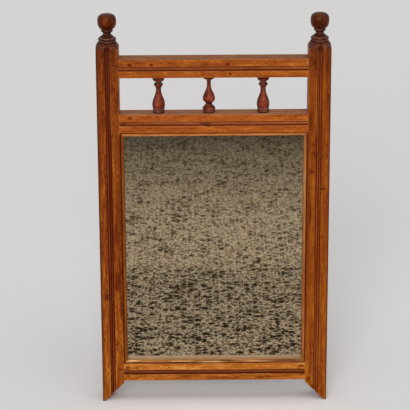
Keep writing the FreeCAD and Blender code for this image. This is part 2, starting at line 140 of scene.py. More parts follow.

# %% [markdown]
# ## The places that the finish follows
#
# Stain gathers where a cloth can't reach, and grime and painted shade lie there too, so the finish has to
# know where the mouldings are. Those places come from the pieces' own boxes and not from typed coordinates:
# if the frame grows, the grime and painted shade move with it.

# %% Measure the frame
post_low, post_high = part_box("right_post")
post_centre = (post_low.x + post_high.x) / 2
post_half = (post_high.x - post_low.x) / 2
post_centre_height = (post_low.z + post_high.z) / 2
face = post_low.y
glass_low, glass_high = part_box("mirror_glass")
rail_middle = {}
for name in ("top_rail", "gallery_rail", "bottom_rail"):
    low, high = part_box(name)
    rail_middle[name] = (low.z + high.z) / 2
print(f"posts at x = {post_centre / MM:.1f} mm, face at y = {face / MM:.1f} mm")
print("rail middles", {name: round(z / MM, 1) for name, z in rail_middle.items()})

# %% [markdown]
# ## Stained pine: the grain
#
# Posts and rails are planed softwood under an orange-brown stain and old wax. Pine shows growth rings
# that run out on the face as long pointed contours, streaks and broad patches where the stain took
# unevenly, fine fibre and short dark resin flecks. A picture of pine could be wrapped round each piece,
# but it would stretch and repeat. Here the contours are the level lines of one stretched noise, which is
# a cheap stand-in for slicing a log and bends round a knot as real rings do. Each pattern has two real
# sizes in millimetres, because timber is fine across the grain and coarse along it. Fibre and flecks are
# drawn about twice as coarse as life: at this distance the true ones would vanish.

# %% Grain
RING_SPREAD = (46, 700)
STREAK = (4.2, 110)
PATCH = (8, 36)
FIBRE = (2.3, 8.5)
FLECK = (2.2, 8)
RINGS_PER_SPREAD = 12
GRAIN_DETAIL = 3.0
FLECK_EDGE = (0.60, 0.72)
KNOT_BEND = 0.15


def stretch(grain, across, along):
    """Pattern scale, in cells per metre, for sizes in millimetres across and along the grain."""
    return [1 / (MM * (along if axis == grain else across)) for axis in "XYZ"]


def grow_grain(wood, grain, shares, bend=0.0):
    """Gives a wood rings, streaks, patches, fibre and flecks from 0 to 1, and the mix of the first four."""
    tree = wood.tree
    patterns = []
    for sizes in (RING_SPREAD, STREAK, PATCH, FIBRE, FLECK):
        spot = add(tree, "Mapping", {"Vector": wood.place, "Scale": stretch(grain, *sizes)})
        patterns.append(add(tree, "TexNoise", {"Vector": spot, "Scale": 1.0, "Detail": GRAIN_DETAIL}))
    level, wood.streak, wood.patch, wood.fibre, speckle = patterns
    bent = add(tree, "Math", (bend, KNOT_BEND, level), operation="MULTIPLY_ADD")
    count = add(tree, "Math", (bent, RINGS_PER_SPREAD), operation="MULTIPLY")
    wood.ring = add(tree, "Math", (count, 1.0), operation="PINGPONG")
    wood.fleck = add(tree, "MapRange", (speckle, *FLECK_EDGE))
    wood.mix = 0.0
    for pattern, share in zip((wood.ring, wood.streak, wood.patch, wood.fibre), shares):
        wood.mix = add(tree, "Math", (pattern, share, wood.mix), operation="MULTIPLY_ADD")


print(f"fibre {FIBRE[0]} x {FIBRE[1]} mm, {RINGS_PER_SPREAD} rings over {RING_SPREAD[0]} mm")

# %% [markdown]
# ## Knots and marks
#
# Knots and dents are where a branch crossed the board or something knocked it. The frame has only a few,
# each with its own place, so they are listed one by one: a point on the face, then half a width and half a
# height, all in millimetres. A few larger spots, where the posts drank more stain, are listed in the same
# way. Every mark is a short column through the board. Distance from its centre line darkens the wood, and
# further out the same distance bends the rings. A little noise in the place keeps the outlines ragged.

# %% List of knots and stains
KNOTS = {
    "top_rail": (
        (-170, 740.5, 4.4, 3.6), (-126, 741, 3.6, 3.4), (28, 741, 4.8, 3.4), (34, 721.5, 3.4, 2.4),
        (95, 719.5, 2.0, 1.4), (118.5, 721.5, 1.6, 1.4), (134, 719.5, 1.8, 1.4)),
    "gallery_rail": (
        (-171, 628.5, 5.0, 2.8), (-114, 626, 2.4, 1.2), (-17, 617.5, 10.0, 3.2), (-12, 611.5, 8.0, 1.8),
        (-184, 615.5, 6.0, 3.0)),
    "bottom_rail": (
        (60, 58, 2.2, 1.4), (-96, 77, 2.4, 1.4), (184, 78, 6.0, 2.2), (179, 72.5, 5.0, 1.0),
        (186, 61, 4.0, 1.4), (-184, 78, 5.0, 2.2), (-186, 72.5, 4.0, 1.0), (-183, 58, 4.0, 1.2)),
    "left_post": (
        (-224, 238, 4.6, 8.0), (-206, 131, 1.8, 3.0), (-206.5, 119, 1.8, 3.0), (-226, 640, 2.4, 3.0),
        (-203, 690, 2.2, 3.4), (-198, 739, 7.0, 0.8), (-199, 73, 8.0, 0.8)),
    "right_post": (
        (202.8, 571, 2.2, 2.6), (210, 578.5, 2.0, 2.4), (233, 570.5, 1.8, 2.2), (203.8, 551.5, 2.2, 3.0),
        (210.7, 548, 2.4, 4.0), (223.6, 545, 3.0, 1.6), (233, 544, 1.4, 2.0), (201.2, 511.5, 4.0, 3.2),
        (201.2, 479, 1.6, 2.2), (223.6, 474.5, 7.0, 2.4), (202.5, 742, 2.4, 3.0), (198, 738, 6.0, 0.8)),
}
STAINS = {
    "left_post": ((-191, 294, 6, 11), (-201, 280, 6, 14), (-204, 262, 5, 12), (-195, 214, 3, 30)),
    "right_post": ((198, 620, 4, 26), (199, 420, 3, 30), (199, 48, 4, 6), (208, 28, 5, 7), (215, 13, 4, 6)),
}
print("knots", {name: len(marks) for name, marks in KNOTS.items()})

# %% [markdown]
# Only the nearest mark counts at any point, so the smallest of the distances is kept. It is counted in
# sizes of the mark, which makes 1 the edge of a large stain and of a small dent alike.

# %% Distance from a mark
RAGGED_GRAIN = 4 * MM
RAGGED_REACH = 2 * MM
NOISE_MIDDLE = (0.5, 0.5, 0.5)
FAR_AWAY = 100.0
MARK_EDGE = (0.7, 1.2, 1.0, 0.0)
BEND_EDGE = (0.0, 5.0, 1.0, 0.0)


def mark_distance(wood, marks):
    """Distance from the nearest mark, in sizes of the mark."""
    tree = wood.tree
    ragged = add(tree, "TexNoise", {"Vector": wood.place, "Scale": 1 / RAGGED_GRAIN, "Detail": 1.0})
    shift = add(tree, "VectorMath", (ragged.outputs["Color"], NOISE_MIDDLE), operation="SUBTRACT")
    reach = add(tree, "VectorMath", {0: shift, "Scale": RAGGED_REACH}, operation="SCALE")
    spot = add(tree, "VectorMath", (wood.place, reach), operation="ADD")
    nearest = FAR_AWAY
    for x, z, half_width, half_height in marks:
        offset = add(tree, "VectorMath", (spot, (x * MM, 0, z * MM)), operation="SUBTRACT")
        flat = (1 / (half_width * MM), 0, 1 / (half_height * MM))
        sized = add(tree, "VectorMath", (offset, flat), operation="MULTIPLY")
        distance = add(tree, "VectorMath", (sized,), operation="LENGTH")
        nearest = add(tree, "Math", (distance, nearest), operation="MINIMUM")
    return nearest


print(f"outlines are ragged by {RAGGED_REACH / MM:.0f} mm")

# %% [markdown]
# ## Stained boards
#
# Each board took the stain in its own way, so each has four tones, from the dark late wood to the pale
# early wood, and a contrast. The posts are a little lighter towards the floor, and the bottom rail is
# darker towards its foot, which is painted shade. One function starts any board; wear, grime and painted
# light and shade are laid over it in the cells that follow.

# %% Stain of the boards
POST_SHARES = (0.05, 0.35, 0.27, 0.33)
RAIL_SHARES = (0.05, 0.25, 0.34, 0.36)
FLECK_COVER = 0.55
RAMP_MIDDLE = 0.5
# Tones, half the ramp's width, and how much lighter the foot is than the middle (below 0: painted shade)
BOARD_TONES = {
    "left_post": (("481404", "702C08", "8E4610", "B4741C"), 0.15, 0.045),
    "right_post": (("4E1804", "783208", "924A0C", "B4741A"), 0.17, 0.04),
    "top_rail": (("6A2806", "8E4412", "A05118", "BC7028"), 0.13, 0.0),
    "gallery_rail": (("702A08", "954614", "A8551A", "C4742C"), 0.13, 0.0),
    "bottom_rail": (("703006", "985014", "B06622", "C8863E"), 0.12, -0.05),
}


def start_board(name):
    """A board of stained pine with its grain, before any wear."""
    tones, spread, fade = BOARD_TONES[name]
    board = new_finish("stained_waxed_pine_" + name)
    tree = board.tree
    board.name = name
    board.is_post = name.endswith("post")
    board.side = add(tree, "Math", (board.axes["X"],), operation="ABSOLUTE")
    board.knot = mark_distance(board, KNOTS[name])
    bend = add(tree, "MapRange", (board.knot, *BEND_EDGE))
    if board.is_post:
        grow_grain(board, "Z", POST_SHARES, bend)
    else:
        grow_grain(board, "X", RAIL_SHARES, bend)
    low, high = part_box(name)
    # On the bottom rail the foot gets darker: painted shade.
    foot_tint_and_shade = add(tree, "MapRange", (board.axes["Z"], low.z, high.z, fade, -fade))
    board.mix = add(tree, "Math", (board.mix, foot_tint_and_shade), operation="ADD")
    board.tone_range = (RAMP_MIDDLE - spread, RAMP_MIDDLE + spread)
    board.colour = add(tree, "ValToRGB", (board.mix,), even_stops(tones, *board.tone_range))
    board.colour = lay_coat(tree, board.colour, tones[0], board.fleck, FLECK_COVER)
    return board


print("stain for", list(BOARD_TONES))

# %% [markdown]
# ## Arrises
#
# Hands and cloths rub the sharp edges of a board, which a joiner calls arrises. They could be painted by
# hand, but the bevel node finds them: it gives a softened normal, and where that differs from the true
# one there is an edge. Wear is never even, so the patches of the grain thin it out.

# %% Worn edges
ARRIS_REACH = 1.4 * MM
ARRIS_TURN = (0.995, 0.9)
BEVEL_SAMPLES = 6


def arris_mask(tree, reach):
    """1 along the arrises, 0 on the flats."""
    soft = add(tree, "Bevel", {"Radius": reach}, samples=BEVEL_SAMPLES)
    true = add(tree, "NewGeometry").outputs["Normal"]
    alike = add(tree, "VectorMath", (soft, true), operation="DOT_PRODUCT")
    return add(tree, "MapRange", (alike, *ARRIS_TURN))


print(f"wear reaches {ARRIS_REACH / MM:.1f} mm from an arris")

# %% [markdown]
# Beside the glass each post gets a dark stripe in the corner between post and slip, painted shade that
# fades towards the floor. Where the rails meet the posts, the same arris is pale: wear and a painted
# highlight. The outer arris gets a dark line of painted shade, which is broader on the left post. The
# bevel node can't tell these edges apart, so their places come from the measured frame.

# %% Edges of the posts
SHADE_STRIPE_WIDTH = {"left_post": 16 * MM, "right_post": 11 * MM}
SHADE_LINE_WIDTH = {"left_post": 7 * MM, "right_post": 4 * MM}
shade_stripe_low, shade_stripe_high = post_centre_height / 3, post_centre_height


def along_glass(board):
    """1 at the heights of the glass."""
    above = add(board.tree, "Math", (board.axes["Z"], glass_low.z), operation="GREATER_THAN")
    below = add(board.tree, "Math", (board.axes["Z"], glass_high.z), operation="LESS_THAN")
    return add(board.tree, "Math", (above, below), operation="MULTIPLY")


def shade_beside_slip(board, glass):
    """1 on the post beside the slip, as painted shade, fading out over the stripe's width and downwards."""
    tree = board.tree
    stripe_end = post_low.x + SHADE_STRIPE_WIDTH[board.name]
    near = add(tree, "MapRange", (board.side, post_low.x, stripe_end, 1.0, 0.0))
    kept = add(tree, "MapRange", (board.axes["Z"], shade_stripe_low, shade_stripe_high))
    kept_by_glass = add(tree, "Math", (kept, glass), operation="MULTIPLY")
    return add(tree, "Math", (near, kept_by_glass), operation="MULTIPLY")


def outer_arris_shade(board):
    """1 where shade is painted on a post's outer arris, fading out over the line's width on face and side.
    """
    tree = board.tree
    width = SHADE_LINE_WIDTH[board.name]
    on_face = add(tree, "MapRange", (board.side, post_high.x - width, post_high.x - width / 4))
    on_side = add(tree, "MapRange", (board.axes["Y"], face + width, face + width / 4))
    return add(tree, "Math", (on_face, on_side), operation="MULTIPLY")


def worn_and_highlit_side(board, glass):
    """1 on the inner half of a post, except along the glass: there arrises get wear and a painted
    highlight.
    """
    inner = add(board.tree, "Math", (board.side, post_centre), operation="LESS_THAN")
    free = add(board.tree, "Math", (1.0, glass), operation="SUBTRACT")
    return add(board.tree, "Math", (inner, free), operation="MULTIPLY")


print(f"the stripes fade between {shade_stripe_high / MM:.0f} and {shade_stripe_low / MM:.0f} mm above the floor")

# %% [markdown]
# With the masks ready, the coats themselves are short. A rail gets pale arrises, which are wear. A post
# gets the stripe and the outer line, both painted shade, and then arrises dark with painted shade, except
# where the rails meet it: there they are pale with wear and a painted highlight.

# %% Rub the arrises and paint their shade
UNEVEN_PATCHES = (0.3, 0.6, 0.45, 0.95)
ARRIS_SHADE_TONE = "3E1402"
PALE_ARRIS = "C68E4C"
ARRIS_COVER = 0.8
SHADE_AND_STAIN_TONE = "521600"
SHADE_STRIPE_COVER = 0.7
SHADE_LINE_COVER = 0.9


def rub_and_shade_arrises(board):
    """Rubs the arrises of a board, and paints shade and a highlight along those of a post."""
    tree = board.tree
    uneven = add(tree, "MapRange", (board.patch, *UNEVEN_PATCHES))
    board.edge = add(tree, "Math", (arris_mask(tree, ARRIS_REACH), uneven), operation="MULTIPLY")
    edge_tone = PALE_ARRIS
    if board.is_post:
        glass = along_glass(board)
        # Painted shade: a dark stripe on the post in the corner beside the slip.
        shade_stripe = add(tree, "Math", (shade_beside_slip(board, glass), uneven), operation="MULTIPLY")
        board.colour = lay_coat(tree, board.colour, SHADE_AND_STAIN_TONE, shade_stripe, SHADE_STRIPE_COVER)
        # Painted shade: a dark line along the outer arris of the post.
        line = add(tree, "Math", (outer_arris_shade(board), uneven), operation="MULTIPLY")
        board.colour = lay_coat(tree, board.colour, ARRIS_SHADE_TONE, line, SHADE_LINE_COVER)
        # A post's arrises are dark with painted shade, and pale on the inner half as wear and painted
        # highlight.
        edge_tone = lay_coat(tree, linear(ARRIS_SHADE_TONE), PALE_ARRIS, worn_and_highlit_side(board, glass))
    board.colour = lay_coat(tree, board.colour, edge_tone, board.edge, ARRIS_COVER)


print("arrises go from", ARRIS_SHADE_TONE, "to", PALE_ARRIS)

# %% [markdown]
# ## Grime and painted shade in the mouldings
#
# The sunk reeds and beads are darker than the flats, and most of all the quirks, the narrow grooves
# beside them, which hold old stain, wax and grime and get painted shade too. Ambient occlusion could find
# such grooves, but it also darkens every corner of the frame. So the band of the moulding comes from its
# place on the board, and depth below the face darkens it further. On a rail the upper quirk gets less
# painted shade than the lower one under the bead.

# %% Moulding masks
REED_HALF_WIDTH = 5.4 * MM
BEAD_HALF_WIDTH = 5.1 * MM
MOULDING_DEPTH = 3.5 * MM
QUIRK_DEPTHS = (0.3 * MM, 1.9 * MM)
UPPER_QUIRK_SHADE = 0.55


def moulding_masks(board):
    """Band of the sunk moulding, and within it 1 at the bottom of the quirks."""
    tree = board.tree
    depth = add(tree, "Math", (board.axes["Y"], face), operation="SUBTRACT")
    if board.is_post:
        across = add(tree, "Math", (board.side, post_centre), operation="SUBTRACT")
        half_width = REED_HALF_WIDTH
    else:
        across = add(tree, "Math", (board.axes["Z"], rail_middle[board.name]), operation="SUBTRACT")
        half_width = BEAD_HALF_WIDTH
    away = add(tree, "Math", (across,), operation="ABSOLUTE")
    within = add(tree, "Math", (away, half_width), operation="LESS_THAN")
    near_face = add(tree, "Math", (depth, MOULDING_DEPTH), operation="LESS_THAN")
    band = add(tree, "Math", (within, near_face), operation="MULTIPLY")
    sunk = add(tree, "MapRange", (depth, *QUIRK_DEPTHS))
    if not board.is_post:
        # The upper quirk gets less painted shade than the lower one under the bead.
        upper_quirk_lighter = add(tree, "MapRange", (across, 0.0, half_width, 1.0, UPPER_QUIRK_SHADE))
        sunk = add(tree, "Math", (sunk, upper_quirk_lighter), operation="MULTIPLY")
    return band, add(tree, "Math", (sunk, band), operation="MULTIPLY")


print(f"reeds {2 * REED_HALF_WIDTH / MM:.1f} mm and beads {2 * BEAD_HALF_WIDTH / MM:.1f} mm wide")

# %% [markdown]
# Three coats fill a moulding: a darker tone over the whole band, a darker one in the quirks, which is
# grime and painted shade, and a painted sheen along the crest between them, which follows the streaks of
# the grain.

# %% Fill the mouldings
QUIRK_GRIME_AND_SHADE = (0.3, 0.6, 0.65, 1.0)
CREST_SHEEN = (0.45, 0.65, 0.0)
CREST_SHEEN_TONE = "A8603C"
# Band tone and its cover, tone of grime and painted shade in the quirks, cover of the painted crest sheen
MOULDING_COATS = {
    "left_post": ("641C06", 0.88, "3E0C04", 0.25),
    "right_post": ("80320E", 0.55, "4C1002", 0.45),
    "top_rail": ("80340E", 0.45, "581602", 0.3),
    "gallery_rail": ("80340E", 0.45, "581602", 0.3),
    "bottom_rail": ("641A02", 0.85, "3E0A00", 0.1),
}


def fill_moulding(board):
    """Darkens a moulding's band, lays grime and painted shade in its quirks and paints sheen on its crest.
    """
    band_tone, band_cover, quirk_grime_shade_tone, crest_sheen_cover = MOULDING_COATS[board.name]
    tree = board.tree
    board.band, quirk = moulding_masks(board)
    board.colour = lay_coat(tree, board.colour, band_tone, board.band, band_cover)
    # Grime and painted shade in the quirks.
    filled = add(tree, "MapRange", (board.patch, *QUIRK_GRIME_AND_SHADE))
    board.colour = lay_coat(tree, board.colour, quirk_grime_shade_tone, quirk, filled)
    # Painted sheen: a pale tone along the crest of the moulding.
    crest = add(tree, "Math", (board.band, quirk), operation="SUBTRACT")
    sheen_amount = add(tree, "MapRange", (board.streak, *CREST_SHEEN, crest_sheen_cover))
    board.colour = lay_coat(tree, board.colour, CREST_SHEEN_TONE, crest, sheen_amount)


print("mouldings filled on", len(MOULDING_COATS), "boards")

# %% [markdown]
# The marks that were listed above go over the grime, because a knot stays dark however well a board is
# wiped.

# %% Draw the marks
KNOT_TONE = "541604"
KNOT_COVER = 0.9
STAIN_COVER = 0.75


def draw_marks(board):
    """Darkens the knots and stains of a board."""
    tree = board.tree
    heart = add(tree, "MapRange", (board.knot, *MARK_EDGE))
    board.colour = lay_coat(tree, board.colour, KNOT_TONE, heart, KNOT_COVER)
    if board.name in STAINS:
        spot = add(tree, "MapRange", (mark_distance(board, STAINS[board.name]), *MARK_EDGE))
        board.colour = lay_coat(tree, board.colour, SHADE_AND_STAIN_TONE, spot, STAIN_COVER)


print("larger stains on", list(STAINS))

# %% [markdown]
# ## Turned heads of the posts
#
# The head of each post was turned on the lathe with the finial that stands on it and got the finial's
# dark stain, which spilled a little way down the flats. A second material on those faces would do, but a
# stain has no sharp end. What was turned lies inside the post's square, so distance from its sides tells
# the two apart.

# %% Darken the heads
HEAD_REACH = 14 * MM
HEAD_STEP = 0.1 * MM
HEAD_SPILL = 80 * MM
SPILL_COVER = 0.5
HEAD_COVER = 0.92
HEAD_TONES = ("220804", "3E120A", "521E10", "6C3018")
RIM_WEAR_AND_HIGHLIGHT_TONE = "B8907A"


def turned_head(board):
    """1 on the turned shoulder at the head of a post, 0 on its flats and below."""
    tree = board.tree
    across = add(tree, "Math", (board.side, post_centre), operation="SUBTRACT")
    sideways = add(tree, "Math", (across,), operation="ABSOLUTE")
    inwards = add(tree, "Math", (board.axes["Y"],), operation="ABSOLUTE")
    reach = add(tree, "Math", (sideways, inwards), operation="MAXIMUM")
    inside = add(tree, "MapRange", (reach, post_half - HEAD_STEP, post_half, 1.0, 0.0))
    high = add(tree, "Math", (board.axes["Z"], post_high.z - HEAD_REACH), operation="GREATER_THAN")
    return add(tree, "Math", (inside, high), operation="MULTIPLY")


def darken_head(board):
    """Stains the head, pales its rims as wear and painted highlight, and gives back the rest of the post.
    """
    tree = board.tree
    head = turned_head(board)
    spill_foot = post_high.z - HEAD_SPILL
    spill = add(tree, "MapRange", (board.axes["Z"], spill_foot, post_high.z, 0.0, SPILL_COVER))
    stained = add(tree, "Math", (head, HEAD_COVER), operation="MULTIPLY")
    cover = add(tree, "Math", (stained, spill), operation="MAXIMUM")
    dark_wood = add(tree, "ValToRGB", (board.mix,), even_stops(HEAD_TONES, *TONE_RANGE))
    board.colour = lay_coat(tree, board.colour, dark_wood, cover)
    plain = add(tree, "Math", (head, board.band), operation="SUBTRACT", use_clamp=True)
    # Pale rims: wear and a painted highlight.
    board.colour = lay_coat(tree, board.colour, RIM_WEAR_AND_HIGHLIGHT_TONE, board.edge, plain)
    return add(tree, "Math", (1.0, head), operation="SUBTRACT")


print(f"turned heads are the top {HEAD_REACH / MM:.0f} mm of posts {2 * post_half / MM:.0f} mm thick")

# %% [markdown]
# ## Dust
#
# Dust settles on what faces up. The slope of the surface gives that, and the patches of the grain keep
# the cover uneven. Dust takes the tones of the wood below it, only paler, and it is dull: wherever it
# lies, it hides the wax.

# %% Settle the dust
LEDGE = (0.6, 0.95)
DUST_SETTLES = (0.3, 0.7, 0.65, 1.15)
GREY_DUST = ("68402A", "865C40", "A27858")
# The gallery rail's dust is paler and redder: dust with painted light and a painted reflection.
RED_DUST_AND_LIGHT = ("84563C", "A67656", "BE9272")
DUST = {
    "left_post": (GREY_DUST, 0.55),
    "right_post": (GREY_DUST, 0.55),
    "top_rail": (GREY_DUST, 0.85),
    "gallery_rail": (RED_DUST_AND_LIGHT, 0.85),
    "bottom_rail": (GREY_DUST, 0.40),
}


def settle_dust(board, open_to_dust):
    """Lays dust on the ledges of a board, where it is open to dust."""
    dust_tones, dust_cover = DUST[board.name]
    tree = board.tree
    normal = add(tree, "NewGeometry").outputs["Normal"]
    slope = add(tree, "SeparateXYZ", (normal,)).outputs["Z"]
    ledge = add(tree, "MapRange", (slope, *LEDGE))
    settled = add(tree, "MapRange", (board.patch, *DUST_SETTLES))
    thick = add(tree, "Math", (settled, dust_cover), operation="MULTIPLY")
    on_ledge = add(tree, "Math", (ledge, thick), operation="MULTIPLY")
    board.dust = add(tree, "Math", (on_ledge, open_to_dust), operation="MULTIPLY")
    dust = add(tree, "ValToRGB", (board.mix,), even_stops(dust_tones, *board.tone_range))
    board.colour = lay_coat(tree, board.colour, dust, board.dust)


print("dust covers", {name: cover for name, (tones, cover) in DUST.items()})

# %% [markdown]
# ## Wax, and the boards together
#
# Wax leaves a soft satin, so roughness lies near 0.45 and follows the fibre. A clear varnish would be a
# coat of its own, with sharp lights. Here the stain is strong and the wax thin, so the clear reflection
# is kept low and amber, and the wood keeps its colour at every angle. Then each board goes through the
# steps in the order of its real life: stain, wear, grime, marks and dust, with painted shade and
# highlights among them.

# %% Wax the boards
AMBER_WAX = linear("FFC08A")
WAX_ROUGHNESS = (0.0, 1.0, 0.38, 0.56)
WAX_SHINE = 0.25
RING_RELIEF = 0.4
RELIEF_STRENGTH = 0.2
RELIEF_HEIGHT = 0.2 * MM


def wax_wood(wood, relief, roughness, shine):
    """Joins colour, relief and wax in the shader."""
    tree = wood.tree
    bump = add(tree, "Bump", {"Strength": RELIEF_STRENGTH, "Distance": RELIEF_HEIGHT, "Height": relief})
    wire(tree, wood.shader, {
        "Base Color": wood.colour,
        "Roughness": roughness,
        "Normal": bump,
        "Specular IOR Level": shine,
        "Specular Tint": AMBER_WAX,
    })


for name in BOARD_TONES:
    board = start_board(name)
    rub_and_shade_arrises(board)
    fill_moulding(board)
    draw_marks(board)
    settle_dust(board, darken_head(board) if board.is_post else 1.0)
    wax = add(board.tree, "MapRange", (board.fibre, *WAX_ROUGHNESS))
    dull = add(board.tree, "Math", (wax, board.dust), operation="MAXIMUM")
    relief = add(board.tree, "Math", (board.ring, RING_RELIEF, board.fibre), operation="MULTIPLY_ADD")
    wax_wood(board, relief, dull, WAX_SHINE)
    give_finish(name, board.material)
print(f"stained pine on {len(BOARD_TONES)} pieces")

# %% [markdown]
# ## Turned and waxed beech
#
# Finials and spindles came off a lathe and were stained darker. A turned piece shows its grain as long
# flames up the sides and a mottle where the tool crossed it, so a round noise joins the long patterns of
# the boards.

# %% Turned wood
MOTTLE = 7 * MM
MOTTLE_SHARE = 0.36
TURNED_SHARES = (0.06, 0.16, 0.30, 0.12)
TURNED_RANGE = (0.38, 0.62)
TURNED_FLECK_COVER = 0.4
FINIAL_TONES = ("220500", "401002", "5A1C04", "7C320C")
SPINDLE_TONES = ("3A0E06", "6A281A", "803624", "9C4A34")


def turn_wood(name, tones):
    """A turned and stained wood, before any wear."""
    wood = new_finish("stained_turned_beech_" + name)
    tree = wood.tree
    grow_grain(wood, "Z", TURNED_SHARES)
    wood.mottle = add(tree, "TexNoise", {"Vector": wood.place, "Scale": 1 / MOTTLE, "Detail": GRAIN_DETAIL})
    mix = add(tree, "Math", (wood.mottle, MOTTLE_SHARE, wood.mix), operation="MULTIPLY_ADD")
    wood.colour = add(tree, "ValToRGB", (mix,), even_stops(tones, *TURNED_RANGE))
    wood.colour = lay_coat(tree, wood.colour, tones[0], wood.fleck, TURNED_FLECK_COVER)
    return wood


print(f"turned wood has a mottle of {MOTTLE / MM:.0f} mm")

# %% [markdown]
# What doesn't face forward gets painted shade, a darker tone, and so do the base of a finial under its
# ball and the head of a spindle close under the rail. Every groove gets grime and painted shade. On such
# round work no measured place would find the grooves, so ambient occlusion does it here. The rims are
# pale with wear and a painted highlight.

# %% Wear and painted shade of the turned wood
LIT_FRONT = (-0.88, -0.35)
TURNED_SHADE_TONE = "280A08"
AWAY_SHADE_COVER = 0.8
END_SHADE_COVER = 0.55
CORNER_REACH = 14 * MM
CORNER_SAMPLES = 8
CORNER_SHADE_AND_GRIME = (0.35, 0.92, 1.0, 0.0)
SHADE_AND_GRIME_TONE = "180402"
SHADE_AND_GRIME_COVER = 0.95
RIM_REACH = 1.3 * MM
RIM_COVER = 1.5


def wear_and_shade_turned(wood, unshaded_height, shaded_height):
    """Paints shade on what faces away, towards the shaded height and in the grooves, and pales the rims."""
    tree = wood.tree
    normal = add(tree, "NewGeometry").outputs["Normal"]
    backward = add(tree, "SeparateXYZ", (normal,)).outputs["Y"]
    # Painted shade: darker where the surface faces away from the front.
    facing_away_shade = add(tree, "MapRange", (backward, *LIT_FRONT))
    wood.colour = lay_coat(tree, wood.colour, TURNED_SHADE_TONE, facing_away_shade, AWAY_SHADE_COVER)
    # Painted shade at one end: under a finial's ball, and at a spindle's head under the rail.
    end_shade = add(tree, "MapRange", (wood.axes["Z"], unshaded_height, shaded_height))
    wood.colour = lay_coat(tree, wood.colour, TURNED_SHADE_TONE, end_shade, END_SHADE_COVER)
    # Ambient occlusion darkens the grooves: painted shade, with grime.
    corner = add(tree, "AmbientOcclusion", {"Distance": CORNER_REACH}, samples=CORNER_SAMPLES)
    shade_and_grime = add(tree, "MapRange", (corner.outputs["AO"], *CORNER_SHADE_AND_GRIME))
    wood.colour = lay_coat(tree, wood.colour, SHADE_AND_GRIME_TONE, shade_and_grime, SHADE_AND_GRIME_COVER)
    # Pale rims: wear and a painted highlight.
    uneven = add(tree, "Math", (wood.patch, RIM_COVER), operation="MULTIPLY")
    wood.colour = lay_coat(tree, wood.colour, RIM_WEAR_AND_HIGHLIGHT_TONE, arris_mask(tree, RIM_REACH), uneven)


print(f"grime looks for corners within {CORNER_REACH / MM:.0f} mm")

# %% [markdown]
# The gouge leaves fine rings round a turned piece. They are too fine to model, and a sine along the
# height gives them to the relief. The wax is thicker here than on the boards and was rubbed in while the
# piece turned, so it shines a little more and its roughness follows the mottle.

# %% Finials and spindles
GOUGE_STEP = 0.9 * MM
GOUGE_RELIEF = 0.15
TURNED_ROUGHNESS = (0.3, 0.7, 0.32, 0.54)
TURNED_SHINE = 0.3
BALL_HEIGHT = 33 * MM
BALL_JOINT = 1 * MM
SPINDLE_HEAD = 34 * MM


def turned_wood(name, tones, unshaded_height, shaded_height):
    """Material of a turned piece: stained, worn, with painted shade, and waxed."""
    wood = turn_wood(name, tones)
    tree = wood.tree
    wear_and_shade_turned(wood, unshaded_height, shaded_height)
    turns = add(tree, "Math", (wood.axes["Z"], 2 * math.pi / GOUGE_STEP), operation="MULTIPLY")
    gouge = add(tree, "Math", (turns,), operation="SINE")
    relief = add(tree, "Math", (gouge, GOUGE_RELIEF, wood.fibre), operation="MULTIPLY_ADD")
    roughness = add(tree, "MapRange", (wood.mottle, *TURNED_ROUGHNESS))
    wax_wood(wood, relief, roughness, TURNED_SHINE)
    return wood.material


ball_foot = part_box("left_finial")[1].z - BALL_HEIGHT
rail_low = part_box("top_rail")[0].z
finial_wood = turned_wood("finial", FINIAL_TONES, ball_foot + BALL_JOINT, ball_foot)
spindle_wood = turned_wood("spindle", SPINDLE_TONES, rail_low - SPINDLE_HEAD, rail_low)
turned_pieces = [name for name in pieces if "finial" in name or "spindle" in name]
for name in turned_pieces:
    give_finish(name, finial_wood if "finial" in name else spindle_wood)
print("turned wood on", turned_pieces)

# %% [markdown]
# ## Sight slips
#
# The slips between frame and glass are thin strips of a paler pine, stained but hardly waxed. The quirk
# along their outer edge is darkened with old stain and painted shade. Their inner edges, close to the
# glass, take a tone of their own away from the face: pale on the level slips, which is painted light, and
# dark on the upright ones, which is painted shade. All of it follows from two distances: one from the
# face and one from the frame.

# %% Stain of the slips
slip_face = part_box("slip_top")[0].y
opening_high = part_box("slip_top")[1].z
opening_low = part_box("slip_bottom")[0].z
opening_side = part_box("slip_right")[1].x
SLIP_SHARES = (0.10, 0.40, 0.34, 0.16)
SMUDGE_EDGE = (0.56, 0.70)
SMUDGE_TONE = "4A2008"
SMUDGE_COVER = 0.5
SLIP_FLECK_TONE = "6A3210"
SLIP_FLECK_COVER = 0.4
INNER_EDGE_DEPTHS = (3 * MM, 5 * MM)
INNER_LIGHT_SHADE_COVER = 0.85
SLIP_QUIRK = 3.2 * MM
SLIP_QUIRK_SHADE_TONE = "4A1802"
SLIP_QUIRK_SHADE_COVER = 0.8


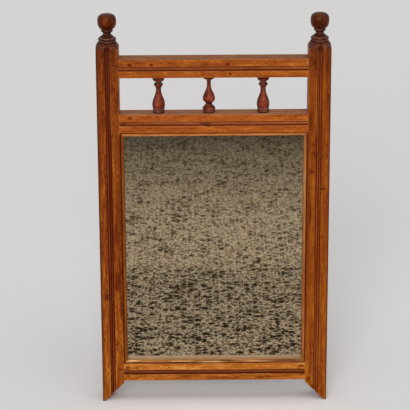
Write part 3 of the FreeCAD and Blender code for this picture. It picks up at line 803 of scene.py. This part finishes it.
def stain_slip(name, grain, tones, inner_light_shade_tone):
    """A slip with grain, painted light and shade on its inner edge, stain and painted shade in its quirk.
    """
    slip = new_finish("thin_stained_pine_slip_" + name)
    tree = slip.tree
    grow_grain(slip, grain, SLIP_SHARES)
    colour = add(tree, "ValToRGB", (slip.mix,), even_stops(tones, *TONE_RANGE))
    smudge = add(tree, "MapRange", (slip.patch, *SMUDGE_EDGE))
    colour = lay_coat(tree, colour, SMUDGE_TONE, smudge, SMUDGE_COVER)
    colour = lay_coat(tree, colour, SLIP_FLECK_TONE, slip.fleck, SLIP_FLECK_COVER)
    # Inner edge: pale painted light on the level slips, dark painted shade on the upright ones.
    depth = add(tree, "Math", (slip.axes["Y"], slip_face), operation="SUBTRACT")
    inner_light_shade = add(tree, "MapRange", (depth, *INNER_EDGE_DEPTHS))
    colour = lay_coat(tree, colour, inner_light_shade_tone, inner_light_shade, INNER_LIGHT_SHADE_COVER)
    if grain == "X":
        middle, reach = (opening_low + opening_high) / 2, (opening_high - opening_low) / 2
        offset = add(tree, "Math", (slip.axes["Z"], middle), operation="SUBTRACT")
    else:
        offset, reach = slip.axes["X"], opening_side
    away = add(tree, "Math", (offset,), operation="ABSOLUTE")
    # The dark quirk is old stain and painted shade.
    quirk = add(tree, "MapRange", (away, reach - SLIP_QUIRK, reach - SLIP_QUIRK / 2))
    slip.colour = lay_coat(tree, colour, SLIP_QUIRK_SHADE_TONE, quirk, SLIP_QUIRK_SHADE_COVER)
    return slip


print(f"slips lie {(slip_face - face) / MM:.1f} mm behind the face of the frame")

# %% [markdown]
# The bottom slip catches what falls, and it has pale marks, which are scuffs and painted highlights, and
# dark smudges of its own. They are listed like the knots, with heights measured from the foot of the slip.
# A slip is hardly waxed, so it is rougher than the boards and its clear reflection is weaker.

# %% Slips
SCUFF_AND_HIGHLIGHT_TONE = "E8BC80"
SPOT_TONE = "3A1C08"
SLIP_MARK_COVER = 0.8
SLIP_MARKS = {
    "bottom": (
        # Pale marks: scuffs and painted highlights.
        (SCUFF_AND_HIGHLIGHT_TONE, ((-5, 3.0, 29, 1.0), (-172, 6.2, 14, 1.2), (-70, 5.0, 26, 0.8), (90, 4.2, 30, 0.8))),
        (SPOT_TONE, ((26, 5.8, 17, 1.8), (153, 6.0, 26, 1.3), (-163, 3.8, 12, 1.2), (-84, 1.8, 24, 0.9))),
    ),
}
SLIP_ROUGHNESS = (0.0, 1.0, 0.45, 0.6)
SLIP_SHINE = 0.2
# Grain, tones and the inner edge's tone: painted light on level slips, painted shade on upright ones
SLIPS = {
    "top": ("X", ("84421A", "AC622E", "BE763E", "D08E58"), "9C7E54"),
    "bottom": ("X", ("643214", "88522A", "A46C3C", "C09060"), "88704A"),
    # The left slip has darker tones than the right one: painted shade.
    "left": ("Z", ("4C1E06", "723610", "8A4A16", "A06226"), "5E3E14"),
    "right": ("Z", ("6E3412", "925226", "A26434", "B27A4C"), "5E3E14"),
}
for name, stain in SLIPS.items():
    slip = stain_slip(name, *stain)
    for tone, marks in SLIP_MARKS.get(name, ()):
        raised = [(x, opening_low / MM + rise, *half_sizes) for x, rise, *half_sizes in marks]
        spot = add(slip.tree, "MapRange", (mark_distance(slip, raised), *MARK_EDGE))
        slip.colour = lay_coat(slip.tree, slip.colour, tone, spot, SLIP_MARK_COVER)
    roughness = add(slip.tree, "MapRange", (slip.fibre, *SLIP_ROUGHNESS))
    wax_wood(slip, slip.fibre, roughness, SLIP_SHINE)
    give_finish("slip_" + name, slip.material)
print(f"{len(SLIPS)} slips, face at y = {slip_face / MM:.1f} mm")

# %% [markdown]
# ## Silvered plate
#
# The mirror is glass with silver behind it. A real sheet of glass before a metal one would cost many more
# bounces of light for the same picture, so for the eye it is a slightly warm metal with no grain, a faint
# wave from old rolled glass, and bloom along the lower edge where damp has crept under the silver. The
# silver is painted over behind, so the faces that look backwards are dull brown paint.

# %% Mirror
SILVER = "E4E0D6"
BLOOM_TONE = "D8C8B0"
BACK_PAINT = "4A3226"
PAINT_ROUGHNESS = 0.7
PAINTED_SLOPE = 0.5
GLASS_WAVE = 70 * MM
WAVE_STRENGTH = 0.03
WAVE_HEIGHT = 0.2 * MM
BLOOM_RISE = 14 * MM
BLOOM_PATCH = 16 * MM
BLOOM_DETAIL = 3.0
BLOOM_HAZE = (0.25, 0.8, 0.02, 0.35)
sight_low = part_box("slip_bottom")[1].z


def silvered_glass():
    """Material of the plate: silver in front, paint behind."""
    plate = new_finish("silvered_plate_glass")
    tree = plate.tree
    wave = add(tree, "TexNoise", {"Vector": plate.place, "Scale": 1 / GLASS_WAVE, "Detail": 0.0})
    bump = add(tree, "Bump", {"Strength": WAVE_STRENGTH, "Distance": WAVE_HEIGHT, "Height": wave})
    damp = add(tree, "MapRange", (plate.axes["Z"], sight_low, sight_low + BLOOM_RISE, 1.0, 0.0))
    patch = add(tree, "TexNoise", {"Vector": plate.place, "Scale": 1 / BLOOM_PATCH, "Detail": BLOOM_DETAIL})
    bloom = add(tree, "Math", (damp, patch), operation="MULTIPLY")
    haze = add(tree, "MapRange", (bloom, *BLOOM_HAZE))
    normal = add(tree, "NewGeometry").outputs["Normal"]
    backward = add(tree, "SeparateXYZ", (normal,)).outputs["Y"]
    paint = add(tree, "Math", (backward, PAINTED_SLOPE), operation="GREATER_THAN")
    dull = add(tree, "Math", (paint, PAINT_ROUGHNESS), operation="MULTIPLY")
    colour = lay_coat(tree, linear(SILVER), BLOOM_TONE, bloom)
    wire(tree, plate.shader, {
        "Base Color": lay_coat(tree, colour, BACK_PAINT, paint),
        "Metallic": add(tree, "Math", (1.0, paint), operation="SUBTRACT"),
        "Roughness": add(tree, "Math", (haze, dull), operation="MAXIMUM"),
        "Normal": bump,
    })
    return plate.material


give_finish("mirror_glass", silvered_glass())
print("mirror plate", [round(side / MM, 1) for side in glass_high - glass_low], "mm")

# %% [markdown]
# ## The back
#
# Nobody stains the side that is never seen. Boards and fillets are raw pine that has gone grey-brown and
# dry, so the same grain gets pale tones, a rough surface and a deeper relief, and no wax.

# %% Raw pine
RAW_SHARES = (0.12, 0.30, 0.36, 0.22)
RAW_TONES = ("7E5E40", "96775A", "A68868", "B69A7C")
RAW_FLECK_TONE = "5A3C24"
RAW_FLECK_COVER = 0.4
RAW_ROUGHNESS = 0.8
RAW_STRENGTH = 0.35
RAW_RELIEF = 0.3 * MM
LEVEL_FILLETS = ("glass_fillet_top", "glass_fillet_bottom")


def raw_pine(name, grain):
    """Material of unstained pine that has aged."""
    wood = new_finish("raw_aged_pine_" + name)
    tree = wood.tree
    grow_grain(wood, grain, RAW_SHARES)
    colour = add(tree, "ValToRGB", (wood.mix,), even_stops(RAW_TONES, *TONE_RANGE))
    bump = add(tree, "Bump", {"Strength": RAW_STRENGTH, "Distance": RAW_RELIEF, "Height": wood.fibre})
    wire(tree, wood.shader, {
        "Base Color": lay_coat(tree, colour, RAW_FLECK_TONE, wood.fleck, RAW_FLECK_COVER),
        "Normal": bump,
        "Roughness": RAW_ROUGHNESS,
    })
    return wood.material


raw_upright = raw_pine("upright", "Z")
raw_level = raw_pine("level", "X")
raw_pieces = [name for name in pieces if name.startswith(("back_board_", "glass_fillet_"))]
raw_pieces.remove("back_board_brads")
for name in raw_pieces:
    give_finish(name, raw_level if name in LEVEL_FILLETS else raw_upright)
print(f"raw pine on {len(raw_pieces)} pieces")

# %% [markdown]
# ## Metalwork
#
# The hangers are stamped brass gone dull, and the brads are plain steel with a skin of rust. Both are a
# clean metal under patches of a darker one, which is what tarnish and rust look like from a step away,
# and the patches are rougher too.

# %% Brass and steel
TARNISH_PATCH = 4 * MM
TARNISH_DETAIL = 4.0
TARNISH_EDGE = (0.4, 0.65)
SMOOTHER, ROUGHER = 0.1, 0.15
# Clean tone, dull tone and roughness
BRASS = ("C8A058", "7A5C30", 0.38)
STEEL = ("8A8580", "5A4434", 0.5)


def dull_metal(name, clean, dull, roughness):
    """Material of a metal with patches of tarnish or rust."""
    metal = new_finish(name)
    tree = metal.tree
    patch = add(tree, "TexNoise",
                {"Vector": metal.place, "Scale": 1 / TARNISH_PATCH, "Detail": TARNISH_DETAIL})
    cover = add(tree, "MapRange", (patch, *TARNISH_EDGE))
    wire(tree, metal.shader, {
        "Base Color": lay_coat(tree, linear(clean), dull, cover),
        "Roughness": add(tree, "MapRange", (patch, 0.0, 1.0, roughness - SMOOTHER, roughness + ROUGHER)),
        "Metallic": 1.0,
    })
    return metal.material


brass = dull_metal("tarnished_stamped_brass", *BRASS)
steel = dull_metal("rusted_steel_brad", *STEEL)
hangers = [name for name in pieces if name.startswith("hanger")]
for name in hangers:
    give_finish(name, brass)
give_finish("back_board_brads", steel)
print("brass on", hangers)

# %% [markdown]
# ## Stage
#
# The part stands on a plain pale floor that reaches past the frame of every view. It is one flat sheet of
# matt paint, which keeps the soft shadow of the mirror and nothing else.

# %% Floor
FLOOR_REACH = 30.0
FLOOR_PAINT = "E9E7E6"
MATT = 0.9
FLOOR_SHINE = 0.1


def flat_sheet(name, left, front, right, back, height):
    """A level sheet that belongs to the stage."""
    outline = ((left, front), (right, front), (right, back), (left, back))
    mesh = bpy.data.meshes.new(name)
    mesh.from_pydata([(x, y, height) for x, y in outline], [], [(0, 1, 2, 3)])
    sheet = bpy.data.objects.new(name, mesh)
    bpy.context.scene.collection.objects.link(sheet)
    sheet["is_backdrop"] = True
    return sheet


floor = flat_sheet("floor", -FLOOR_REACH, -FLOOR_REACH, FLOOR_REACH, FLOOR_REACH, 0.0)
floor_paint = new_finish("matt_studio_floor")
wire(floor_paint.tree, floor_paint.shader, {
    "Base Color": linear(FLOOR_PAINT),
    "Roughness": MATT,
    "Specular IOR Level": FLOOR_SHINE,
})
floor.data.materials.append(floor_paint.material)
print(f"floor {2 * FLOOR_REACH:.0f} m wide")

# %% [markdown]
# A mirror shows whatever lies in front of it. On a bare stage that is a blank white sheet, so a card of
# speckled stone lies on the floor before the glass, where only reflections see it. The stone is pale,
# with chips of two sizes, which crowd in clumps and near the mirror. Voronoi cells give each chip its own
# size, and noise keeps its edge ragged. The chips are a little larger than real ones, so that they show.

# %% Chips of the stone
CHIPS = ((8.6, 8.2), (15.5, 13.8))
SPECK = (6.5, 6.5)
CLUMP = (120, 110)
CROWD = (0.35, 0.65, 0.42, 0.57)
NEAR_EDGE = 0.8
NEAR_BLUR = 0.06
NEAR_CROWD = 0.14
CHIP_RAGGED = 2.0
CHIP_BLUR = 0.08


def stone_noise(stone, sizes):
    """Noise from 0 to 1 with grains of these sizes, across and along the card."""
    spot = add(stone.tree, "Mapping", {"Vector": stone.place, "Scale": stretch("Y", *sizes)})
    return add(stone.tree, "TexNoise", {"Vector": spot, "Scale": 1.0, "Detail": 1.0})


def scatter_chips(stone):
    """1 on the chips. The stone also keeps its specks and the size of the chip in each large cell."""
    tree = stone.tree
    stone.specks = stone_noise(stone, SPECK)
    clumped = add(tree, "MapRange", (stone_noise(stone, CLUMP), *CROWD))
    near = add(tree, "MapRange", (stone.axes["Y"], -NEAR_EDGE - NEAR_BLUR, -NEAR_EDGE + NEAR_BLUR))
    crowd = add(tree, "Math", (near, NEAR_CROWD, clumped), operation="MULTIPLY_ADD")
    ragged = add(tree, "Math", (stone.specks, CHIP_RAGGED), operation="MULTIPLY")
    chips = 0.0
    for sizes in CHIPS:
        spot = add(tree, "Mapping", {"Vector": stone.place, "Scale": stretch("Y", *sizes)})
        cell = add(tree, "TexVoronoi", {"Vector": spot, "Scale": 1.0})
        stone.size = add(tree, "SeparateColor", (cell.outputs["Color"],))
        reach = add(tree, "Math", (stone.size, crowd), operation="MULTIPLY")
        edge = add(tree, "Math", (cell.outputs["Distance"], ragged), operation="MULTIPLY")
        inside = add(tree, "Math", (reach, edge), operation="SUBTRACT")
        chip = add(tree, "MapRange", (inside, 0.0, CHIP_BLUR))
        chips = add(tree, "Math", (chip, chips), operation="MAXIMUM")
    return chips


print("chips of", " and ".join(f"{across} x {along} mm" for across, along in CHIPS))

# %% [markdown]
# The stone is also darker in some places than in others, as a floor in a room is: dim under the mirror,
# brightest about a metre out and dark at the far end. The shade is listed by distance in metres and
# multiplied into the stone, which has no clear reflection of its own.

# %% Stone
STONE_TONES = ("DACAAE", "E2CCAC", "E4CCAA")
STONE_RANGE = (0.2, 0.8)
SPECK_TONE = "4E3C2A"
SPECK_EDGE = (0.49, 0.56)
SPECK_COVER = 0.8
CHIP_TONE = "241B12"
CHIP_COVER = 0.95
SHADE_REACH = 2.0
SHADE = ((0.0, 0.72), (0.72, 0.73), (0.86, 0.90), (1.15, 0.90), (1.67, 0.49), (1.79, 0.38), (1.85, 0.28),
         (SHADE_REACH, 0.22))

stone = new_finish("speckled_stone_card")
tree = stone.tree
chips = scatter_chips(stone)
speck = add(tree, "MapRange", (stone.specks, *SPECK_EDGE))
colour = add(tree, "ValToRGB", (stone.size,), even_stops(STONE_TONES, *STONE_RANGE))
colour = lay_coat(tree, colour, SPECK_TONE, speck, SPECK_COVER)
colour = lay_coat(tree, colour, CHIP_TONE, chips, CHIP_COVER)
distance = add(tree, "MapRange", (stone.axes["Y"], 0.0, -SHADE_REACH))
greys = [(far / SHADE_REACH, (light, light, light, 1.0)) for far, light in SHADE]
shade = add(tree, "ValToRGB", (distance,), greys)
shaded = add(tree, "Mix", {FACTOR: 1.0, UNDER: colour, OVER: shade},
             data_type="RGBA", blend_type="MULTIPLY")
wire(tree, stone.shader, {"Base Color": shaded, "Roughness": MATT, "Specular IOR Level": 0.0})
print(f"stone shaded over {SHADE_REACH:.0f} m in {len(SHADE)} steps")

# %% [markdown]
# The card itself is a flat sheet a hair above the floor. It starts right before the frame, so that the
# plate shows stone down to its foot when it is seen from above. Camera, shadows and soft light all pass
# it by, and only reflections find it.

# %% Reflection card
CARD_REACH = 4.0
CARD_GAP = 2 * MM
CARD_HEIGHT = 1 * MM
card = flat_sheet("reflection_card", -CARD_REACH, -CARD_REACH, CARD_REACH, face - CARD_GAP, CARD_HEIGHT)
card.data.materials.append(stone.material)
card.visible_camera = False
card.visible_diffuse = False
card.visible_shadow = False
card.visible_transmission = False
print(f"card starts {CARD_GAP / MM:.0f} mm before the frame")

# %% [markdown]
# ## Light
#
# One broad lamp stands just over the camera, so that turned wood is bright in the middle and dark at its
# rims. A broader one overhead lights floor and ledges, as big soft boxes in a studio would. Area lamps
# would do the same, but their light falls off with distance; wide sun lamps give an even floor. Together
# with the fill of the world they give a white card about its own white, so that every colour renders as
# it is written.

# %% Lamps
# Direction of the light, spread in degrees and strength
LAMPS = {
    "front_lamp": ((0.12, 0.92, -0.36), 30, 1.9),
    "overhead_lamp": ((-0.10, 0.28, -0.95), 70, 1.5),
}
for name, (direction, spread, strength) in LAMPS.items():
    lamp = bpy.data.lights.new(name, "SUN")
    lamp.angle = math.radians(spread)
    lamp.energy = strength
    holder = bpy.data.objects.new(name, lamp)
    holder.rotation_mode = "QUATERNION"
    holder.rotation_quaternion = Vector(direction).to_track_quat("-Z", "Y")
    bpy.context.scene.collection.objects.link(holder)
print("lamps", list(LAMPS))

# %% [markdown]
# The world has two jobs. As a light it is a weak fill that softens the shadows. As a backdrop it should
# look as pale as the floor, to the camera and in polished metal. The Light Path node tells which kind of
# ray asks, so one background does both, and the floor's far edge doesn't show.

# %% World
WORLD_COLOUR = "F2F2F4"
FILL_STRENGTH = 0.16
BACKDROP_STRENGTH = 0.75
world = bpy.data.worlds.new("pale_studio")
bpy.context.scene.world = world
world.use_nodes = True
tree = world.node_tree
rays = add(tree, "LightPath").outputs
seen = add(tree, "Math", (rays["Is Camera Ray"], rays["Is Glossy Ray"]), operation="MAXIMUM")
seen = add(tree, "Math", (seen, rays["Is Transmission Ray"]), operation="MAXIMUM")
strength = add(tree, "MapRange", (seen, 0.0, 1.0, FILL_STRENGTH, BACKDROP_STRENGTH))
wire(tree, tree.nodes["Background"], {"Color": linear(WORLD_COLOUR), "Strength": strength})
bpy.context.scene.view_settings.view_transform = "Standard"
print(f"fill {FILL_STRENGTH}, backdrop {BACKDROP_STRENGTH}")

# %% [markdown]
# ## Camera
#
# The camera stands at the photograph's viewpoint: a little left of centre, above the frame and looking
# down at it through a long lens. It could be set by eye, but its place was worked out from the corners of
# rails and posts, which fixes the lens as well.

# %% Camera
IMAGE_SIDE = 410
FOCAL_PIXELS = 2081.7
SENSOR_WIDTH = 36.0
FAR_LIMIT = 100.0
CAMERA_PLACE = Vector((-49.3, -4088.0, 1845.2)) * MM
CAMERA_ANGLES = (19.056, -0.432, -0.253)
pitch, yaw, roll = (math.radians(angle) for angle in CAMERA_ANGLES)
camera = bpy.data.cameras.new("camera")
camera.sensor_width = SENSOR_WIDTH
camera.lens = SENSOR_WIDTH * FOCAL_PIXELS / IMAGE_SIDE
camera.clip_end = FAR_LIMIT
holder = bpy.data.objects.new("camera", camera)
tilt = Matrix.Rotation(math.pi / 2 - pitch, 4, "X") @ Matrix.Rotation(roll, 4, "Z")
holder.matrix_world = Matrix.Translation(CAMERA_PLACE) @ Matrix.Rotation(yaw, 4, "Z") @ tilt
bpy.context.scene.collection.objects.link(holder)
bpy.context.scene.camera = holder
print(f"lens {camera.lens:.1f} mm")

# %% [markdown]
# ## Sizes and hand over
#
# Nothing above moves a solid or adds to one, so the dressed mirror has to be as large as the solids were.
# Its box is printed below.

# %% Size of the dressed mirror
low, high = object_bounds()
print("dressed size", [round(side / MM, 1) for side in high - low], "mm")
